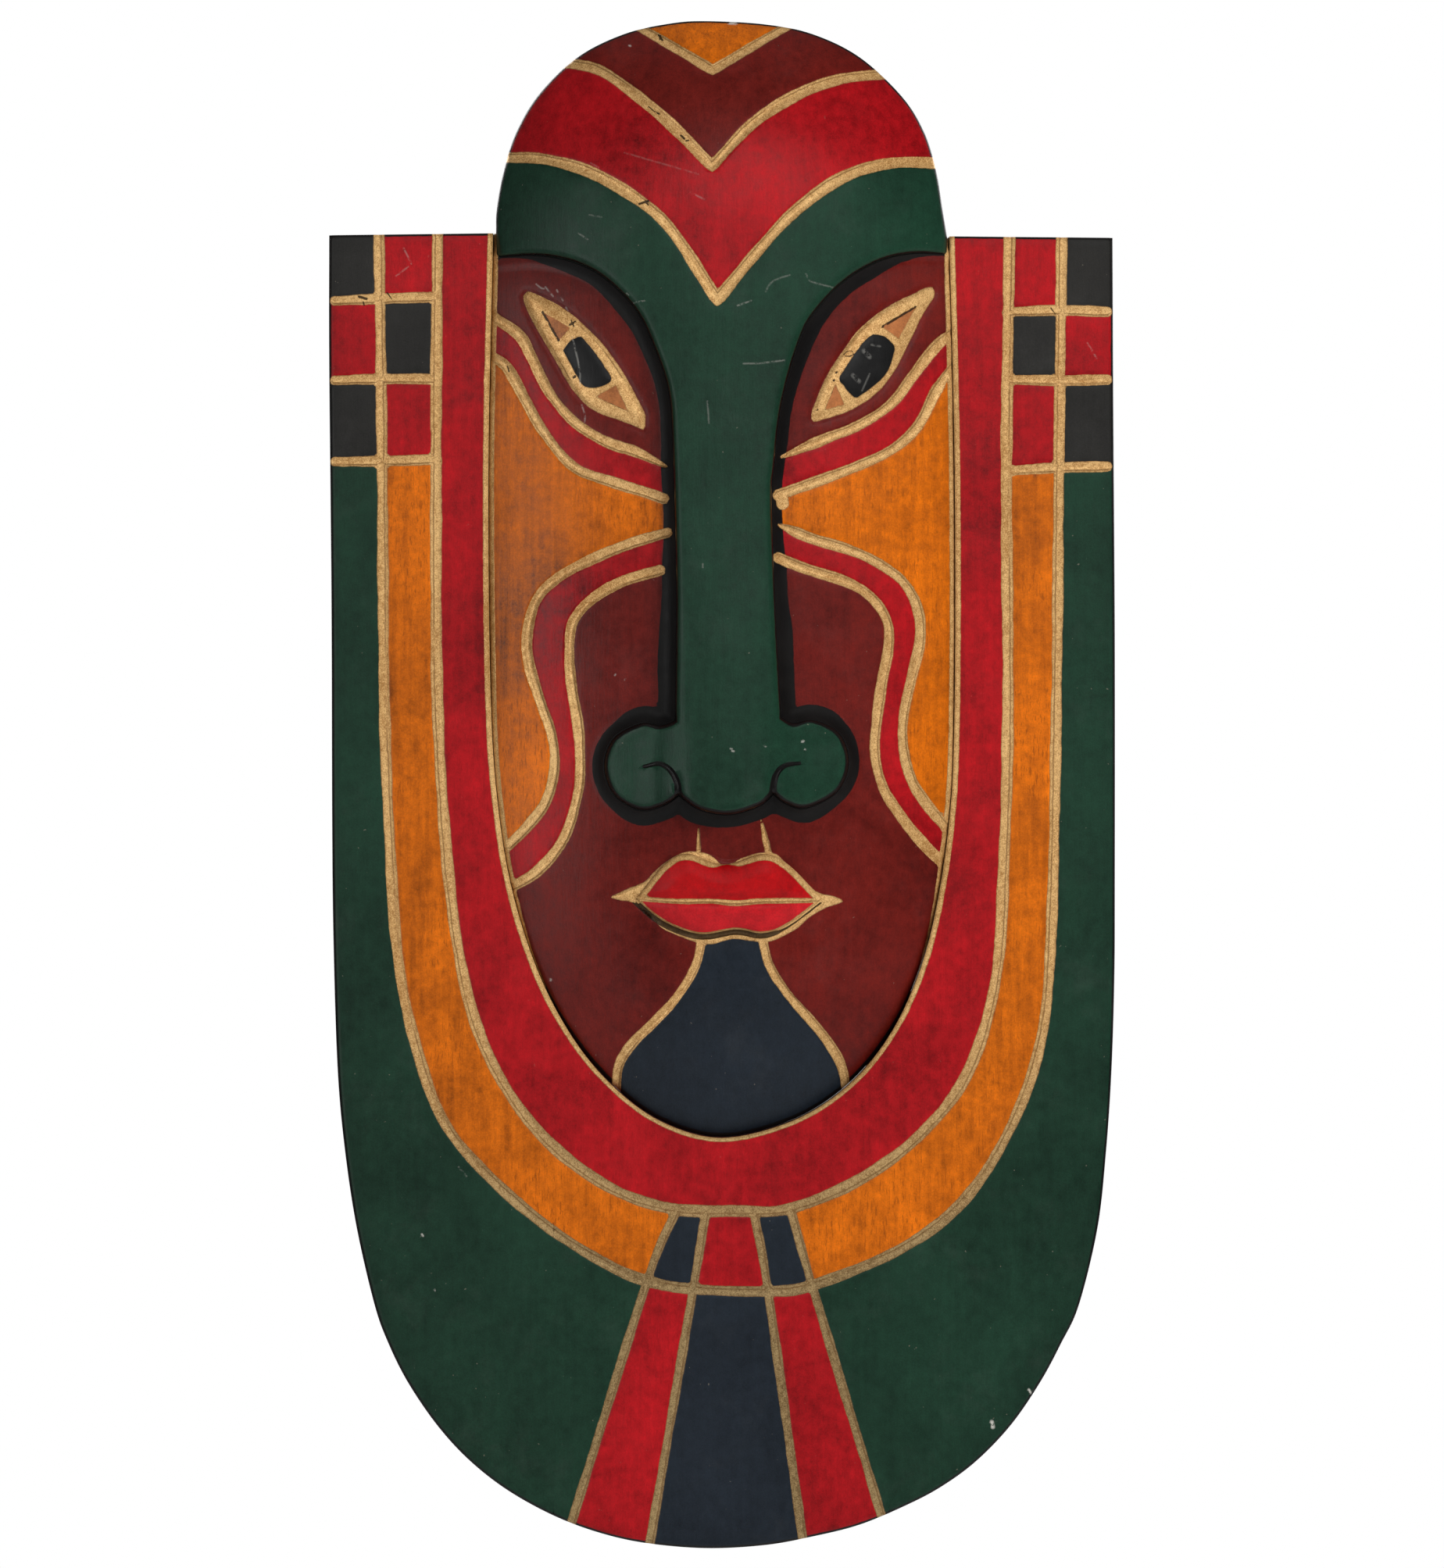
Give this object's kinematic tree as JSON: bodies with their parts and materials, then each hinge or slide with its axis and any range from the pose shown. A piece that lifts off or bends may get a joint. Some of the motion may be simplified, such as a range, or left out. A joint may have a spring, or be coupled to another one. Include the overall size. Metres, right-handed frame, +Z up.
{
  "type": "folk art wall mask",
  "caption": "Tall carved and painted wooden wall mask: long oval face with raised brow and nose, set in a U-shaped collar board, on rear battens with swinging hanging rings.",
  "frame": {"origin": "middle of the rear face of the upper batten, on the plane of the wall", "axes": "+Z up; the face looks along -Y, so +Y points into the wall; +X to the right as the viewer sees the mask"},
  "size_m": [0.5152, 0.095, 1.001],
  "materials": {
    "face_paint": "satin hand-brushed paint",
    "green_paint": "satin hand-brushed paint",
    "lip_paint": "satin hand-brushed paint",
    "bare_pine": "bare sawn",
    "beech": "bare",
    "zinc_steel": "zinc plated",
    "brassed_steel": "brass plated",
    "felt": "felt"
  },
  "bodies": {
    "mask": {"face_shell": "face_paint", "brow_and_nose": "green_paint", "lips": "lip_paint", "collar_board_left": "green_paint", "collar_board_foot": "green_paint", "collar_board_right": "green_paint", "dowel_left_1": "beech", "dowel_left_2": "beech", "dowel_right_1": "beech", "dowel_right_2": "beech", "batten_upper": "bare_pine", "batten_lower": "bare_pine", "batten_screw_upper_1": "zinc_steel", "batten_screw_upper_2": "zinc_steel", "batten_screw_upper_3": "zinc_steel", "batten_screw_upper_4": "zinc_steel", "batten_screw_lower_1": "zinc_steel", "batten_screw_lower_2": "zinc_steel", "batten_screw_lower_3": "zinc_steel", "batten_screw_lower_4": "zinc_steel", "wall_pad_left": "felt", "wall_pad_right": "felt", "hanger_strap_left": "brassed_steel", "hanger_strap_right": "brassed_steel", "hanger_screw_left_1": "zinc_steel", "hanger_screw_left_2": "zinc_steel", "hanger_screw_right_1": "zinc_steel", "hanger_screw_right_2": "zinc_steel"},
    "ring_left": {"hanger_ring_left": "brassed_steel"},
    "ring_right": {"hanger_ring_right": "brassed_steel"}
  },
  "joints": [
    {"name": "ring_left_hinge", "type": "hinge", "parent": "mask", "child": "ring_left", "pos_m": [-0.205, -0.0171, -0.06], "axis": [1, 0, 0], "range_deg": [0, 175]},
    {"name": "ring_right_hinge", "type": "hinge", "parent": "mask", "child": "ring_right", "pos_m": [0.205, -0.0171, -0.06], "axis": [1, 0, 0], "range_deg": [0, 175]}
  ]
}
